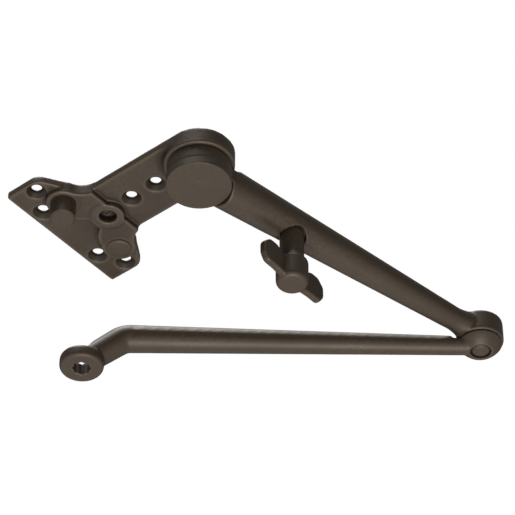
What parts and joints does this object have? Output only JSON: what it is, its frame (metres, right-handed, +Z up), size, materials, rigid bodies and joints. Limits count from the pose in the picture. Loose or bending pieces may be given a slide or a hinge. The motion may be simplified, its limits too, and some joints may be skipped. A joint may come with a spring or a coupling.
{
  "type": "door closer",
  "caption": "Hold-open parallel arm of a door closer: soffit shoe with stop post, tapered forearm, thumb turn and main arm with a star socket.",
  "frame": {"origin": "where the shoe's pivot axis meets the soffit face of the shoe", "axes": "+Z up into the soffit, -X from the pivot towards the shoe's flared mounting plate, +Y the side of the rest pose's elbow"},
  "size_m": [0.2484, 0.3273, 0.0743],
  "materials": {
    "bronze_paint": "satin dark bronze paint",
    "steel": "plain turned steel",
    "bush_bronze": "oiled bearing bronze",
    "spring_steel": "oil-tempered spring wire"
  },
  "bodies": {
    "shoe": {"soffit_plate": "bronze_paint", "stop_post": "bronze_paint", "blank_plug": "bronze_paint", "centre_screw": "steel", "pivot_pin": "steel", "detent_ring": "steel", "hub_cap": "bronze_paint"},
    "forearm": {"forearm": "bronze_paint", "hub_bush_upper": "bush_bronze", "hub_bush_lower": "bush_bronze", "elbow_pin": "steel", "turn_bush": "bush_bronze"},
    "hold_open": {"hold_open_plunger": "steel", "plunger_roller": "steel", "roller_pin": "steel", "hold_open_spring": "spring_steel", "cam_follower": "steel"},
    "thumb_turn": {"turn_shaft": "steel", "thumb_wing": "bronze_paint", "wing_pin": "steel"},
    "main_arm": {"main_arm": "bronze_paint", "elbow_bush": "bush_bronze", "elbow_washer": "bush_bronze"}
  },
  "joints": [
    {"name": "hub_pivot", "type": "hinge", "parent": "shoe", "child": "forearm", "pos_m": [0, 0, 0], "axis": [0, 0, 1], "range_deg": [-230, 72]},
    {"name": "elbow_pivot", "type": "hinge", "parent": "forearm", "child": "main_arm", "pos_m": [0.04961, 0.25522, 0], "axis": [0, 0, 1], "range_deg": [-291, 7]},
    {"name": "thumb_turn", "type": "hinge", "parent": "forearm", "child": "thumb_turn", "pos_m": [0.01565, 0.08049, 0], "axis": [0, 0, 1], "range_deg": [0, 90]},
    {"name": "hold_open_slide", "type": "slide", "parent": "forearm", "child": "hold_open", "axis": [-0.1908, -0.9816, 0], "range_m": [0, 0.0025]}
  ],
  "couplings": [
    {"joint": "hold_open_slide", "follows": "thumb_turn", "m_per_rad": 0.00159}
  ]
}
